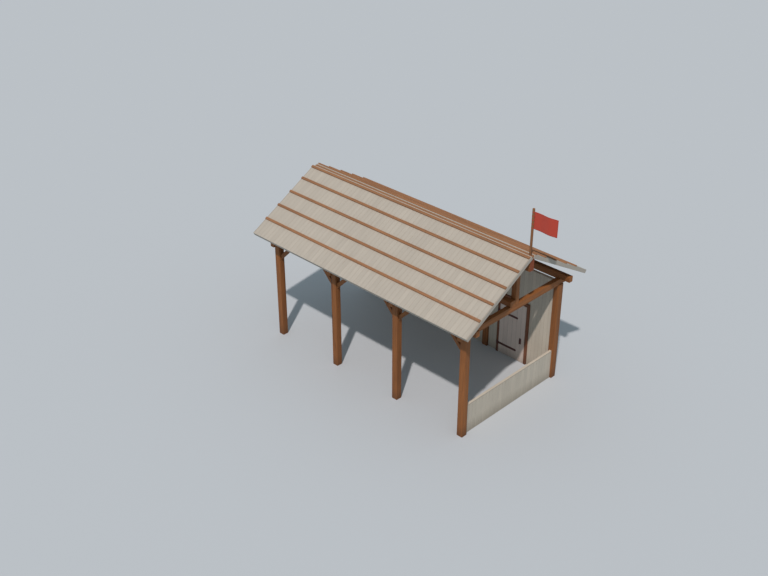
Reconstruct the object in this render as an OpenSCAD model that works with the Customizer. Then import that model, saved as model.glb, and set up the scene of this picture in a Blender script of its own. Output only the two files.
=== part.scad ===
/* [Frame] */
// Distance between post centres along the building
bay = 2500; // [2000:10:3200]
// Distance between the front and rear post centres
span = 4040; // [3200:10:5200]
// Side of a square post
post_size = 200; // [150:5:260]
// Height of a post
post_h = 3190; // [2600:10:3800]
// Chamfer on the long edges of the posts
post_chamfer = 12; // [0:1:25]

/* [Tie beams and king posts] */
// Width of a tie beam
tie_w = 150; // [120:5:200]
// Depth of a tie beam
tie_h = 190; // [150:5:240]
// How far a tie beam stands out past the post
tie_out = 170; // [60:5:300]
// Side of a square king post
king_size = 160; // [120:5:200]
// Chamfer on the long edges of the beams
beam_chamfer = 8; // [2:1:15]

/* [Plates] */
// Width of a wall plate
plate_w = 150; // [120:5:190]
// Depth of a wall plate
plate_h = 180; // [140:5:220]
// How far the plates stand out past the end posts
plate_out = 300; // [100:10:380]

/* [Ridge beam] */
// Width of the ridge beam
ridge_w = 180; // [140:5:240]
// Depth of the ridge beam on its centre line
ridge_h = 385; // [300:5:450]
// How far the ridge beam ends short of the roof's edge
ridge_back = 25; // [5:5:100]

/* [Ridge cap] */
// Width of the open joint between the two slopes, over the ridge beam
ridge_joint = 28; // [16:2:60]
// Height of the ridge cap that fills the joint
cap_h = 74; // [40:2:80]

/* [Binder beam] */
// Width of the binder beam
binder_w = 200; // [150:5:240]
// Depth of the binder beam
binder_h = 165; // [120:5:200]

/* [Knee braces] */
// Height of a brace's heel below the top of the post
brace_drop = 490; // [350:10:650]
// Depth of a brace across its length
brace_h = 110; // [80:5:140]
// Thickness of a brace
brace_w = 90; // [60:5:120]

/* [Roof] */
// Height of the roof's underside above the middle of a plate
roof_rise = 240; // [215:5:400]
// Slope of the roof in degrees
pitch = 29.8; // [24:0.1:33]
// How far the roof reaches past the front and rear posts
eave_out = 470; // [300:10:600]
// How far the roof reaches past the end posts
gable_out = 405; // [320:5:600]
// Thickness of the roof, boarded above and below
roof_t = 110; // [80:5:140]

/* [Battens] */
// Number of battens on each slope
batten_count = 5; // [3:1:7]
// Width of a batten
batten_w = 75; // [40:5:90]
// Height of a batten
batten_h = 42; // [15:1:60]
// Distance of the first batten's middle from the slope's top edge
batten_first = 78; // [50:1:120]
// Distance of the last batten's middle from the slope's lower edge
batten_last = 611; // [300:1:700]
// How far the battens end short of the roof's edge
batten_back = 12; // [0:1:60]

/* [Rafters] */
// Distance between rafters
rafter_step = 1250; // [900:10:1400]
// Number of rafters on each slope
rafter_count = 5; // [3:2:5]
// Width of a rafter
rafter_w = 80; // [60:5:100]
// Depth of a rafter
rafter_h = 120; // [90:5:130]
// How far the rafters end short of the eave
rafter_back = 200; // [150:10:350]

/* [Rear wall] */
// Thickness of the rear wall
wall_t = 80; // [50:5:120]
// Height of the open strip between the rear wall and the rear plate
wall_strip = 115; // [60:5:400]

/* [Low wall] */
// Thickness of the low wall
low_t = 80; // [50:5:120]
// Height of the low wall
low_h = 950; // [700:10:1200]

/* [Doorway] */
// Width of the doorway between the jambs' rebates
door_w = 990; // [800:10:1100]
// Height of the doorway under the lintel
door_h = 2000; // [1850:10:2200]
// Distance from the rear post's face to the left jamb
door_from_post = 355; // [150:5:600]
// Width of a jamb
jamb_w = 100; // [80:5:130]
// Depth of a jamb through the wall
jamb_d = 180; // [120:5:200]
// Height of the lintel
lintel_h = 100; // [80:5:160]
// Width of the rebate that the leaf closes into
rebate_w = 20; // [12:1:25]

/* [Door leaf] */
// Thickness of the door leaf
leaf_t = 45; // [30:1:60]
// Gap around the leaf
leaf_gap = 8; // [8:1:10]
// Gap under the leaf
leaf_under = 14; // [8:1:40]

/* [Strap hinges] */
// Height of the lower hinge's middle above the ground
hinge_low = 345; // [250:5:600]
// Height of the upper hinge's middle above the ground
hinge_high = 1485; // [1200:5:1750]
// Length of a strap from the hinge's axis
strap_len = 690; // [400:10:850]
// Height of a strap
strap_h = 70; // [40:5:90]
// Thickness of a strap
strap_t = 10; // [6:1:14]
// Radius of a hinge pin
pin_r = 8; // [6:0.5:12]
// Radius of a hinge knuckle
knuckle_r = 14; // [13:0.5:20]
// Height of each fixed knuckle
knuckle_h = 22; // [15:1:40]
// Length of the plate on the jamb
hinge_plate_len = 62; // [40:1:75]

/* [Pull handles] */
// Height of the handle's middle above the ground
handle_z = 740; // [600:10:1200]
// Distance from the leaf's free edge to the handle's middle
handle_in = 155; // [80:5:250]
// Height of the handle's plate
handle_plate_h = 200; // [150:5:300]
// Width of the handle's plate
handle_plate_w = 75; // [50:5:100]
// Thickness of the handle's plate
handle_plate_t = 6; // [4:1:10]
// Thickness of the grip
grip_r = 9; // [7:0.5:12]
// Clear room behind the grip
grip_room = 36; // [28:1:50]

/* [Flag] */
// Radius of the flagpole
pole_r = 35; // [25:1:45]
// Height of the flagpole above the roof's apex
pole_h = 1300; // [1000:5:2000]
// Distance of the pole's middle from the roof's edge
pole_back = 105; // [90:5:200]
// Depth of the pole's socket in the ridge beam
pole_socket = 120; // [60:10:200]
// Bevel around the pole's top
pole_bevel = 10; // [2:1:20]
// Length of the flag from the pole's middle
flag_len = 785; // [500:5:1200]
// Height of the flag
flag_h = 480; // [300:5:700]
// Distance from the pole's top down to the flag
flag_drop = 80; // [20:5:150]
// Thickness of the flag's solid
flag_t = 8; // [4:1:12]
// How far the cloth swings to each side at the flag's free edge
flag_swing = 26; // [0:1:60]
// Number of full waves along the flag
flag_waves = 1.2; // [0.5:0.1:3]

/* [Hidden] */
$fn = 64;

// Colours
timber_colour = "#8a5a36";
shade_timber_colour = "#6b4630";
cream_colour = "#b8aea0";
wall_colour = "#a39a8c";
batten_colour = "#97704f";
iron_colour = "#4a2c2c";
flag_colour = "#a14235";

// Frame
bays = 3;
half_len = bay * bays / 2;
half_span = span / 2;
tie_z = post_h;
plate_z = tie_z + tie_h;
plate_top = plate_z + plate_h;
plate_half = half_len + post_size / 2 + plate_out;
wall_h = plate_z - wall_strip;

// Roof, with the thin gap left at every sloping seat
seat_gap = 0.4;
run = half_span + post_size / 2 + eave_out;
roof_half = half_len + post_size / 2 + gable_out;
roof_drop = roof_t / cos(pitch);
under_apex = plate_top + roof_rise + half_span * tan(pitch);
apex_h = under_apex + roof_drop;
joint = ridge_joint / 2;
slope_y = joint + roof_t * sin(pitch);
slope_len = (run - slope_y) / cos(pitch);
ridge_half = roof_half - ridge_back;
ridge_z = under_apex - ridge_h;
batten_half = roof_half - batten_back;

// Rafters
rafter_drop = rafter_h / cos(pitch);

// Doorway, with the leaf hung at the left
rear_in = half_span - wall_t / 2;
frame_in = half_span - jamb_d / 2;
frame_out = half_span + jamb_d / 2;
last_post_x = half_len - bay;
jamb_left_x = last_post_x + post_size / 2 + door_from_post;
opening_x0 = jamb_left_x + jamb_w - rebate_w;
opening_x1 = opening_x0 + door_w;
jamb_right_x = opening_x1 - rebate_w;
leaf_x0 = opening_x0 + leaf_gap;
leaf_x1 = opening_x1 - leaf_gap;
leaf_top = door_h - leaf_gap;
rebate_d = leaf_t + leaf_gap;

// Hinge axis, in front of the door's inner face
pin_gap = 0.25;
knuckle_gap = 1.5;
plate_gap = 6;
axis_x = opening_x0 + leaf_gap / 2;
axis_y = frame_in - knuckle_r - strap_t;
strap_face = frame_in - axis_y;
pin_head = 5;

// Flagpole
pole_top = apex_h + pole_h;
pole_x = roof_half - pole_back;
pole_fit = 5;
pole_foot = under_apex - pole_socket;
sleeve_gap = 0.4;
sleeve_t = 4;
flag_steps = 24;

// The pieces are drawn about the middle of the building.
// The origin is the middle of the foot of the front left post.
module from_corner() {
    translate([half_len, half_span, 0]) children();
}

// Height of the roof's underside at a distance from the centre line
function under_roof(y) = under_apex - abs(y) * tan(pitch);

// Section of a timber about its middle, with chamfered corners
module section(wide, high, chamfer) {
    x = wide / 2;
    y = high / 2;
    polygon([
        [x - chamfer, -y], [x, chamfer - y], [x, y - chamfer], [x - chamfer, y],
        [chamfer - x, y], [-x, y - chamfer], [-x, chamfer - y], [chamfer - x, -y]
    ]);
}

module post(index, y) {
    translate([index * bay - half_len, y, 0])
        linear_extrude(post_h)
            section(post_size, post_size, post_chamfer);
}

module front_post(index) {
    color(timber_colour) post(index, -half_span);
}

module rear_post(index) {
    color(timber_colour) post(index, half_span);
}

// Solid along the building from a profile drawn in the plane across it
module along(length) {
    rotate([90, 0, 90])
        translate([0, 0, -length / 2])
            linear_extrude(length)
                children();
}

module tie_beam(index) {
    half = half_span + post_size / 2 + tie_out;
    color(timber_colour)
        translate([index * bay - half_len, 0, tie_z + tie_h / 2])
            rotate([0, 0, 90])
                along(2 * half)
                    section(tie_w, tie_h, beam_chamfer);
}

module king_post(index) {
    color(shade_timber_colour)
        translate([index * bay - half_len, 0, plate_z])
            linear_extrude(ridge_z - plate_z)
                section(king_size, king_size, beam_chamfer);
}

module plate(y) {
    translate([0, y, plate_z + plate_h / 2])
        along(2 * plate_half)
            section(plate_w, plate_h, beam_chamfer);
}

module front_plate() {
    color(shade_timber_colour) plate(-half_span);
}

module rear_plate() {
    color(shade_timber_colour) plate(half_span);
}

// Ridge beam, its top bevelled to both slopes
module ridge_beam() {
    half = ridge_w / 2;
    side_top = under_roof(half) - seat_gap;
    middle_top = under_roof(joint) - seat_gap;
    color(timber_colour)
        difference() {
            along(2 * ridge_half)
                polygon([
                    [beam_chamfer - half, ridge_z], [half - beam_chamfer, ridge_z],
                    [half, ridge_z + beam_chamfer], [half, side_top],
                    [joint, middle_top], [-joint, middle_top],
                    [-half, side_top], [-half, ridge_z + beam_chamfer]
                ]);
            translate([pole_x, 0, pole_foot])
                cylinder(r = pole_r, h = pole_socket + roof_t);
        }
}

// Cap in the joint between the slopes, its sides cut to their end faces
module ridge_cap() {
    low = joint - seat_gap;
    wide = low + cap_h * tan(pitch);
    base = under_roof(joint) - seat_gap;
    color(batten_colour)
        difference() {
            along(2 * batten_half)
                polygon([
                    [-low, base], [low, base],
                    [wide, base + cap_h], [-wide, base + cap_h]
                ]);
            translate([pole_x, 0, pole_foot])
                cylinder(r = pole_r + seat_gap, h = pole_socket + roof_t + cap_h);
        }
}

// Long timber on the tie beams, against the front of the king posts
module binder_beam() {
    half = half_len + tie_w / 2;
    color(shade_timber_colour)
        translate([0, -king_size / 2 - binder_w / 2, plate_z + binder_h / 2])
            along(2 * half)
                section(binder_w, binder_h, beam_chamfer);
}

// Brace at 45 degrees from a post's face, side 1 towards +X and -1 towards -X
module front_brace(index, side) {
    face = post_size / 2;
    heel = post_h - brace_drop;
    reach = plate_z - heel;
    band = brace_h / cos(45);
    translate([index * bay - half_len, -half_span + brace_w / 2, 0])
        scale_side(side)
            rotate([90, 0, 0])
                linear_extrude(brace_w)
                    polygon([
                        [face, heel], [face + reach, plate_z],
                        [face + reach - band, plate_z], [face, heel + band]
                    ]);
}

module scale_side(side) {
    if (side > 0) children();
    else mirror([1, 0, 0]) children();
}

module front_braces() {
    color(shade_timber_colour)
        for (index = [0:bays]) {
            if (index < bays) front_brace(index, 1);
            if (index > 0) front_brace(index, -1);
        }
}

// Rafter from the ridge beam's side to near the eave
module rafters(side) {
    y0 = ridge_w / 2 + seat_gap;
    y1 = run - rafter_back;
    for (i = [0:rafter_count - 1])
        translate([(i - (rafter_count - 1) / 2) * rafter_step, 0, 0])
            scale_front(side)
                along(rafter_w)
                    translate([0, -seat_gap])
                        polygon([
                            [y0, under_roof(y0)], [y1, under_roof(y1)],
                            [y1, under_roof(y1) - rafter_drop],
                            [y0, under_roof(y0) - rafter_drop]
                        ]);
}

module scale_front(side) {
    if (side > 0) children();
    else mirror([0, 1, 0]) children();
}

module front_rafters() {
    color(shade_timber_colour) rafters(-1);
}

module rear_rafters() {
    color(shade_timber_colour) rafters(1);
}

// Blocks that carry the rafters on the plates
module rafter_blocks() {
    y0 = half_span - plate_w / 2;
    y1 = half_span + plate_w / 2;
    down = rafter_drop + 2 * seat_gap;
    color(shade_timber_colour)
        for (side = [-1, 1])
            for (i = [0:rafter_count - 1])
                translate([(i - (rafter_count - 1) / 2) * rafter_step, 0, 0])
                    scale_front(side)
                        along(rafter_w)
                            polygon([
                                [y0, plate_top], [y1, plate_top],
                                [y1, under_roof(y1) - down],
                                [y0, under_roof(y0) - down]
                            ]);
}

// Roof slope drawn from its top edge down, with both ends cut square
module on_slope(side, length) {
    scale_front(side)
        along(length)
            translate([slope_y, apex_h - slope_y * tan(pitch)])
                rotate(-pitch)
                    children();
}

module slope(side) {
    difference() {
        on_slope(side, 2 * roof_half)
            translate([0, -roof_t])
                square([slope_len, roof_t]);
        translate([pole_x, 0, pole_foot])
            cylinder(r = pole_r + pole_fit, h = pole_h);
    }
}

module front_roof() {
    color(cream_colour) slope(-1);
}

module rear_roof() {
    color(cream_colour) slope(1);
}

// Battens along the building, the first beside the top edge, the others evenly below
module battens(side) {
    step = (slope_len - batten_last) / (batten_count - 1);
    for (i = [0:batten_count - 1])
        on_slope(side, 2 * batten_half)
            translate([(i == 0 ? batten_first : i * step) - batten_w / 2, seat_gap])
                square([batten_w, batten_h]);
}

module front_battens() {
    color(batten_colour) battens(-1);
}

module rear_battens() {
    color(batten_colour) battens(1);
}

// Piece of the rear wall between two places along the building
module rear_wall_piece(x0, x1, z0) {
    color(wall_colour)
        translate([x0, rear_in, z0])
            cube([x1 - x0, wall_t, wall_h - z0]);
}

module rear_wall_bay(index) {
    x0 = index * bay - half_len + post_size / 2;
    rear_wall_piece(x0, x0 + bay - post_size, 0);
}

module rear_wall_left_of_door() {
    rear_wall_piece(last_post_x + post_size / 2, jamb_left_x, 0);
}

module rear_wall_right_of_door() {
    rear_wall_piece(jamb_right_x + jamb_w, half_len - post_size / 2, 0);
}

module rear_wall_over_door() {
    rear_wall_piece(jamb_left_x, jamb_right_x + jamb_w, door_h + lintel_h);
}

module low_wall() {
    y = half_span - post_size / 2;
    color(cream_colour)
        translate([half_len - low_t / 2, -y, 0])
            cube([low_t, 2 * y, low_h]);
}

// Jamb with a rebate for the leaf on its opening side
module jamb_profile() {
    difference() {
        square([jamb_w, jamb_d]);
        translate([jamb_w - rebate_w, -1])
            square([rebate_w + 1, rebate_d + 1]);
    }
}

module door_jamb_left() {
    color(shade_timber_colour)
        translate([jamb_left_x, frame_in, 0])
            linear_extrude(door_h)
                jamb_profile();
}

module door_jamb_right() {
    color(shade_timber_colour)
        translate([jamb_right_x + jamb_w, frame_in, 0])
            linear_extrude(door_h)
                mirror([1, 0])
                    jamb_profile();
}

module door_lintel() {
    color(shade_timber_colour)
        translate([jamb_left_x, frame_in, door_h])
            cube([jamb_right_x + jamb_w - jamb_left_x, jamb_d, lintel_h]);
}

module door_leaf() {
    color(wall_colour)
        translate([leaf_x0, frame_in, leaf_under])
            cube([leaf_x1 - leaf_x0, leaf_t, leaf_top - leaf_under]);
}

// Both hinges, drawn around the axis at each height
module at_hinges() {
    for (z = [hinge_low, hinge_high])
        translate([axis_x, axis_y, z])
            children();
}

module strap() {
    tip = strap_h / 2;
    difference() {
        union() {
            translate([0, 0, -strap_h / 2])
                linear_extrude(strap_h)
                    polygon([
                        [0, 0], [0, knuckle_r], [knuckle_r, strap_face],
                        [3 * knuckle_r, strap_face], [3 * knuckle_r, strap_face - strap_t],
                        [knuckle_r, knuckle_r - strap_t]
                    ]);
            translate([0, 0, -strap_h / 2])
                cylinder(r = knuckle_r, h = strap_h);
            translate([2 * knuckle_r, strap_face - strap_t, -strap_h / 2])
                cube([strap_len - tip - 2 * knuckle_r, strap_t, strap_h]);
            translate([strap_len - tip, strap_face, 0])
                rotate([90, 0, 0])
                    cylinder(r = tip, h = strap_t);
        }
        translate([0, 0, -strap_h])
            cylinder(r = pin_r + pin_gap, h = 2 * strap_h);
    }
}

module door_straps() {
    color(iron_colour) at_hinges() strap();
}

// Plate on the jamb with a knuckle above and one below the strap's
module hinge_plate() {
    z0 = strap_h / 2 + knuckle_gap;
    x0 = knuckle_r + plate_gap;
    difference() {
        union() {
            translate([-x0 - hinge_plate_len, strap_face - strap_t, -z0 - knuckle_h])
                cube([hinge_plate_len, strap_t, 2 * (z0 + knuckle_h)]);
            for (z = [z0, -z0 - knuckle_h])
                translate([0, 0, z]) {
                    cylinder(r = knuckle_r, h = knuckle_h);
                    linear_extrude(knuckle_h)
                        polygon([
                            [0, 0], [0, knuckle_r], [-x0, strap_face],
                            [-x0 - 1, strap_face - strap_t], [-knuckle_r, 0]
                        ]);
                }
        }
        translate([0, 0, -z0 - 2 * knuckle_h])
            cylinder(r = pin_r, h = 2 * z0 + 4 * knuckle_h);
    }
}

module hinge_plates() {
    color(iron_colour) at_hinges() hinge_plate();
}

module hinge_pins() {
    half = strap_h / 2 + knuckle_gap + knuckle_h;
    color(iron_colour)
        at_hinges() {
            translate([0, 0, -half])
                cylinder(r = pin_r, h = 2 * half);
            translate([0, 0, half])
                cylinder(r = knuckle_r, h = pin_head);
        }
}

// Pull handle standing out in -Y from a plate on the leaf's face
module pull_handle() {
    reach = handle_plate_t + grip_room + grip_r;
    half = handle_plate_h / 2 - 3 * grip_r;
    translate([-handle_plate_w / 2, -handle_plate_t, -handle_plate_h / 2])
        cube([handle_plate_w, handle_plate_t, handle_plate_h]);
    for (z = [-half, half])
        translate([0, 0, z])
            rotate([90, 0, 0])
                cylinder(r = grip_r, h = reach);
    translate([0, -reach, -half])
        cylinder(r = grip_r, h = 2 * half);
    for (z = [-half, half])
        translate([0, -reach, z])
            sphere(r = grip_r);
}

module door_handles() {
    color(iron_colour)
        translate([leaf_x1 - handle_in, frame_in, handle_z]) {
            pull_handle();
            translate([0, leaf_t, 0])
                mirror([0, 1, 0])
                    pull_handle();
        }
}

module flagpole() {
    color(timber_colour)
        translate([pole_x, 0, pole_foot]) {
            cylinder(r = pole_r, h = pole_top - pole_foot - pole_bevel);
            translate([0, 0, pole_top - pole_foot - pole_bevel])
                cylinder(r1 = pole_r, r2 = pole_r - pole_bevel, h = pole_bevel);
        }
}

// Sideways place of the cloth, at a share of the way from the pole to the free edge
function swing(share) = flag_swing * share * sin(360 * flag_waves * share);

module flag() {
    z0 = pole_top - flag_drop - flag_h;
    sleeve_r = pole_r + sleeve_gap;
    shares = [for (i = [0:flag_steps]) i / flag_steps];
    near = [for (s = shares) [s * flag_len, swing(s) - flag_t / 2]];
    far = [for (s = shares) [(1 - s) * flag_len, swing(1 - s) + flag_t / 2]];
    color(flag_colour)
        translate([pole_x, 0, z0])
            difference() {
                union() {
                    cylinder(r = sleeve_r + sleeve_t, h = flag_h);
                    linear_extrude(flag_h)
                        polygon(concat(near, far));
                }
                translate([0, 0, -1])
                    cylinder(r = sleeve_r, h = flag_h + 2);
            }
}

from_corner() front_post(0);  // front_post_1
from_corner() front_post(1);  // front_post_2
from_corner() front_post(2);  // front_post_3
from_corner() front_post(3);  // front_post_4
from_corner() rear_post(0);  // rear_post_1
from_corner() rear_post(1);  // rear_post_2
from_corner() rear_post(2);  // rear_post_3
from_corner() rear_post(3);  // rear_post_4
from_corner() tie_beam(0);  // tie_beam_1
from_corner() tie_beam(1);  // tie_beam_2
from_corner() tie_beam(2);  // tie_beam_3
from_corner() tie_beam(3);  // tie_beam_4
from_corner() king_post(0);  // king_post_1
from_corner() king_post(1);  // king_post_2
from_corner() king_post(2);  // king_post_3
from_corner() king_post(3);  // king_post_4
from_corner() front_plate();
from_corner() rear_plate();
from_corner() ridge_beam();
from_corner() ridge_cap();
from_corner() binder_beam();
from_corner() front_braces();
from_corner() front_rafters();
from_corner() rear_rafters();
from_corner() rafter_blocks();
from_corner() front_roof();
from_corner() rear_roof();
from_corner() front_battens();
from_corner() rear_battens();
from_corner() rear_wall_bay(0);  // rear_wall_bay_1
from_corner() rear_wall_bay(1);  // rear_wall_bay_2
from_corner() rear_wall_left_of_door();
from_corner() rear_wall_right_of_door();
from_corner() rear_wall_over_door();
from_corner() low_wall();
from_corner() door_jamb_left();
from_corner() door_jamb_right();
from_corner() door_lintel();
from_corner() hinge_plates();
from_corner() hinge_pins();
from_corner() door_leaf();
from_corner() door_straps();
from_corner() door_handles();
from_corner() flagpole();
from_corner() flag();
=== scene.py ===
# %% [markdown]
# # A boathouse on square posts
# The building is a roof on eight square posts, open at the front and boarded at the back.
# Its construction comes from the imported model, and this script gives it the boards, the nails,
# the cloth and the finishes that a person would see up close.
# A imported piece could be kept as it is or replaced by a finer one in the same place.
# Here almost every piece is replaced, because sawn timber has worn edges that catch the light.

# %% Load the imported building
import math
import random

import bmesh
import bpy
import numpy as np
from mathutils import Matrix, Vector


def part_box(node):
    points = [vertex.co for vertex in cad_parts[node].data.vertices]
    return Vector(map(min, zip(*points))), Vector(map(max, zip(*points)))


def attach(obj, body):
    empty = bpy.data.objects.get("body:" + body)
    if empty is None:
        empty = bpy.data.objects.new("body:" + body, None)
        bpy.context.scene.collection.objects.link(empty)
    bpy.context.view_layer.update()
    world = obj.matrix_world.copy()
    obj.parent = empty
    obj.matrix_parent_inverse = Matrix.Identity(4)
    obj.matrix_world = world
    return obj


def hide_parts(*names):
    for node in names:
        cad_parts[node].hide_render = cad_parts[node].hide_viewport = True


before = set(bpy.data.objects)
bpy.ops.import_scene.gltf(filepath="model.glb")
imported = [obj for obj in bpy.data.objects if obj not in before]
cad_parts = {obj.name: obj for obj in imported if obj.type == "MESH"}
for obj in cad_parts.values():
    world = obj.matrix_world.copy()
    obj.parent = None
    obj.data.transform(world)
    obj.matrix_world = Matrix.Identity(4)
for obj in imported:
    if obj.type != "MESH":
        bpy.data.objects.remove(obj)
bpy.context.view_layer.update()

# %% [markdown]
# ## Camera
# The photograph looks down on the front right corner from about 30 degrees above level.
# A camera can be aimed by trial, but here it was worked out once from the grid of posts,
# so its place and turn are written as plain numbers in the building's own frame.

# %% Camera
EYE = (22.768, -18.494, 18.518)
EYE_TILT = 59.936
EYE_TURN = 44.67
LENS = 50.7
FILM_WIDE = 36.0
FARTHEST = 600.0


def put(name, data):
    made = bpy.data.objects.new(name, data)
    bpy.context.scene.collection.objects.link(made)
    return made


def add_camera():
    data = bpy.data.cameras.new("camera")
    data.lens = LENS
    data.sensor_width = FILM_WIDE
    data.clip_end = FARTHEST
    camera = put("camera", data)
    camera.location = EYE
    camera.rotation_euler = (math.radians(EYE_TILT), 0.0, math.radians(EYE_TURN))
    bpy.context.scene.camera = camera
    return camera


print("camera at", tuple(add_camera().location))

# %% [markdown]
# ## Helpers for finishes
# Each finish below is a graph of nodes that works out colour, roughness and bump at every point.
# Writing the links one by one is long, so the first helper adds a node, fills its inputs and returns
# it, or its output. Every input may be a plain value or another node's output.
# The second holds a material, with the few steps that all the finishes share.

# %% Helper for graphs of nodes
class Graph:
    def __init__(self, tree):
        self.tree = tree

    def feed(self, socket, value):
        if isinstance(value, bpy.types.NodeSocket):
            self.tree.links.new(value, socket)
        else:
            socket.default_value = value

    def add(self, kind, settings=None, **inputs):
        node = self.tree.nodes.new(kind)
        for key, value in (settings or {}).items():
            setattr(node, key, value)
        for key, value in inputs.items():
            self.feed(node.inputs[key.replace("_", " ")], value)
        return node

    def read(self, attribute, output="Fac"):
        return self.add("ShaderNodeAttribute", {"attribute_name": attribute}).outputs[output]

    def parts(self, place):
        return self.add("ShaderNodeSeparateXYZ", Vector=place).outputs

    def maths(self, operation, *values):
        node = self.add("ShaderNodeMath", {"operation": operation})
        for socket, value in zip(node.inputs, values):
            self.feed(socket, value)
        return node.outputs[0]

    def product(self, first, second):
        return self.maths("MULTIPLY", first, second)


print("node helper ready")

# %% Helper for finishes
class Finish(Graph):
    def __init__(self, name):
        self.material = bpy.data.materials.new(name)
        self.material.use_nodes = True
        super().__init__(self.material.node_tree)
        self.tree.nodes.clear()
        self.shader = self.add("ShaderNodeBsdfPrincipled")
        self.feed(self.add("ShaderNodeOutputMaterial").inputs[0], self.shader.outputs[0])

    def noise(self, place, scale, detail=3.0, rough=0.55):
        """Soft clouds from 0 to 1. scale says how many there are to a metre along each axis."""
        stretch = self.add("ShaderNodeVectorMath", {"operation": "MULTIPLY"})
        self.feed(stretch.inputs[0], place)
        self.feed(stretch.inputs[1], scale)
        cloud = self.add("ShaderNodeTexNoise", Vector=stretch.outputs[0], Scale=1.0,
                         Detail=detail, Roughness=rough)
        return cloud.outputs["Fac"]

    def spread(self, value, low, high, to_low=0.0, to_high=1.0):
        node = self.add("ShaderNodeMapRange", Value=value, From_Min=low, From_Max=high,
                        To_Min=to_low, To_Max=to_high)
        return node.outputs[0]

    def blend(self, amount, first, second):
        """A mix of two colours. Its sockets go by number, because several share one name."""
        node = self.add("ShaderNodeMix", {"data_type": "RGBA"})
        for socket, value in ((0, amount), (6, first), (7, second)):
            self.feed(node.inputs[socket], value)
        return node.outputs[2]

    def cover(self, colour, mask, share, over):
        """A colour with a share of another over it, where the mask is one."""
        return self.blend(self.product(mask, share), colour, over)

    def balance(self, *terms):
        """One half, plus each (value, its own middle, how much it matters)."""
        total = 0.5
        for value, middle, weight in terms:
            term = self.maths("MULTIPLY_ADD", value, weight, -middle * weight)
            total = self.maths("ADD", total, term)
        return total

    def near_floor(self, streak, ragged, full, none, most):
        """Most at the foot of the building and nought higher up, with a ragged line between them."""
        height = self.parts(self.add("ShaderNodeTexCoord").outputs["Object"])[2]
        uneven = self.maths("MULTIPLY_ADD", streak, -ragged, height)
        return self.spread(uneven, full, none, most, 0.0)

    def surface(self, colour, roughness, height, depth, strength=0.6):
        bump = self.add("ShaderNodeBump", Height=height, Distance=depth, Strength=strength)
        self.feed(self.shader.inputs["Base Color"], colour)
        self.feed(self.shader.inputs["Roughness"], roughness)
        self.feed(self.shader.inputs["Normal"], bump.outputs[0])


print("finish helper ready")

# %% Colours
SCREEN_CURVE = 2.2


def paint(red, green, blue, times=1.0):
    """A colour given as it looks on screen, 0 to 255, as the linear colour that a shader needs."""
    return tuple((c / 255) ** SCREEN_CURVE * times for c in (red, green, blue)) + (1.0,)


print("a mid grey is", [round(v, 3) for v in paint(128, 128, 128)])

# %% [markdown]
# ## Light
# The real light is a high sun before the front right corner, with an even sky that fills the shade.
# It could be a picture of a sky, but a sun lamp with a wide disc and one world colour give the same
# reading, and keep every colour near its written value.
# The camera, and gloss or glass, see the sky in the tone of the floor, so that the floor has no hard
# end behind the building.

# %% Sun and sky
SUN_TOWARDS = Vector((0.322, -0.499, 0.805))
SUN_STRENGTH = 2.21
SUN_COLOUR = (1.0, 0.957, 0.929)
SUN_DISC = 1.6
SKY_COLOUR = (0.76, 0.94, 1.05, 1.0)
SKY_STRENGTH = 0.385
SKY_SEEN = (0.497, 0.533, 0.571, 1.0)


def add_sun():
    data = bpy.data.lights.new("sun", "SUN")
    data.energy = SUN_STRENGTH
    data.color = SUN_COLOUR
    data.angle = math.radians(SUN_DISC)
    sun = put("sun", data)
    sun.rotation_euler = SUN_TOWARDS.to_track_quat("Z", "Y").to_euler()


def directly_seen(graph):
    """One for rays that show something to the camera, straight or in gloss or glass, and else nought."""
    path = graph.add("ShaderNodeLightPath").outputs
    seen = path["Is Camera Ray"]
    for kind in ("Is Glossy Ray", "Is Transmission Ray"):
        seen = graph.maths("MAXIMUM", seen, path[kind])
    return seen


def add_sky():
    world = bpy.data.worlds.new("sky")
    world.use_nodes = True
    sky = Graph(world.node_tree)
    sky.tree.nodes.clear()
    light = sky.add("ShaderNodeBackground", Color=SKY_COLOUR, Strength=SKY_STRENGTH)
    seen = sky.add("ShaderNodeBackground", Color=SKY_SEEN)
    choose = sky.add("ShaderNodeMixShader", Fac=directly_seen(sky))
    sky.feed(choose.inputs[1], light.outputs[0])
    sky.feed(choose.inputs[2], seen.outputs[0])
    sky.feed(sky.add("ShaderNodeOutputWorld").inputs["Surface"], choose.outputs[0])
    bpy.context.scene.world = world


add_sun()
add_sky()
bpy.context.scene.view_settings.view_transform = "Standard"
print("sun strength", SUN_STRENGTH, "sky strength", SKY_STRENGTH)

# %% [markdown]
# ## The floor
# The building stands on one plain pale sheet, which only catches its shadow and throws some light
# back up under the roof. It has no gloss, so it keeps one tone from every side and meets the sky
# without a line. It isn't part of the building.

# %% Floor
FLOOR_HALF = 150.0
FLOOR_BELOW = 0.001
FLOOR_SEEN = (0.58, 0.59, 0.61, 1.0)
FLOOR_BOUNCE = (0.36, 0.41, 0.455, 1.0)


def add_floor():
    half = FLOOR_HALF
    corners = [(-half, -half, 0), (half, -half, 0), (half, half, 0), (-half, half, 0)]
    mesh = bpy.data.meshes.new("floor")
    mesh.from_pydata(corners, [], [(0, 1, 2, 3)])
    floor = put("floor", mesh)
    floor.location.z = -FLOOR_BELOW
    finish = Finish("floor")
    colour = finish.blend(directly_seen(finish), FLOOR_BOUNCE, FLOOR_SEEN)
    for name, value in (("Base Color", colour), ("Roughness", 0.9), ("Specular IOR Level", 0.0)):
        finish.feed(finish.shader.inputs[name], value)
    mesh.materials.append(finish.material)


add_floor()
print("floor half size", FLOOR_HALF)

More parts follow.
